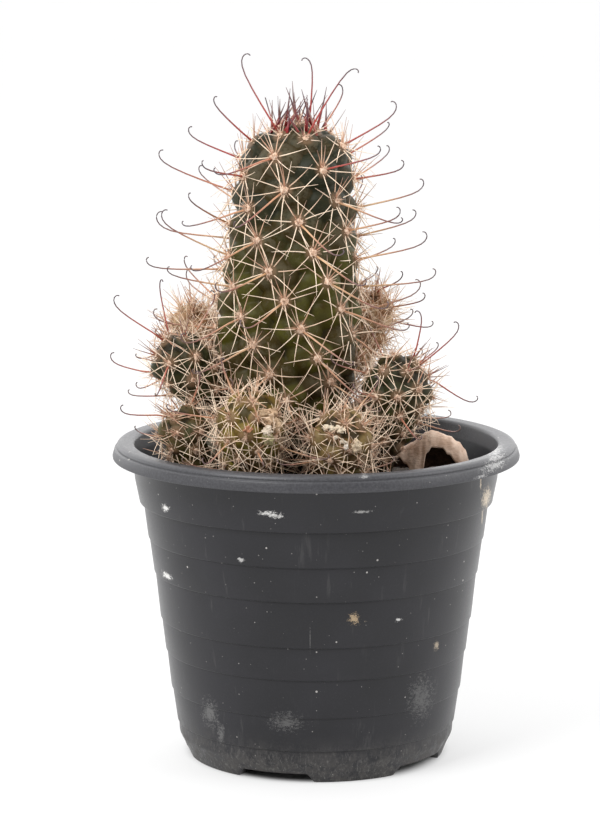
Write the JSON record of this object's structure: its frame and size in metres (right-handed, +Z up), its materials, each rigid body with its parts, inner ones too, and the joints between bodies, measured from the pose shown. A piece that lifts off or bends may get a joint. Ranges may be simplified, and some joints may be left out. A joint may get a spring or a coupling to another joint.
{
  "type": "potted cactus",
  "caption": "Clump of hook-spined cactus stems growing in soil in a round tapered plastic nursery pot with a folded rim and stepped ring lines.",
  "frame": {"origin": "on the pot's axis, at the level of the surface that it stands on", "axes": "+Z up along the pot's axis, -Y towards the front of the plant, +X to its right as seen from the front"},
  "size_m": [0.1285, 0.128, 0.2221],
  "materials": {
    "pot_plastic": "worn matt charcoal plastic, dusty at the foot, with lime specks",
    "soil": "dry gritty potting mix",
    "stem_flesh": "waxy dull green skin with pale straw-coloured spines",
    "offset_flesh": "waxy green to olive skin with pale straw-coloured spines",
    "dry_leaf": "dry curled leaf, tan outside and brown inside"
  },
  "bodies": {
    "root": {"pot": "pot_plastic", "soil": "soil", "main_stem": "stem_flesh", "offset_left": "offset_flesh", "offset_low_left": "offset_flesh", "offset_front_left": "offset_flesh", "offset_front_right": "offset_flesh", "offset_right": "offset_flesh", "offset_back_right": "offset_flesh", "offset_back_left": "offset_flesh", "dry_leaf": "dry_leaf", "dry_flake": "dry_leaf"}
  },
  "joints": []
}
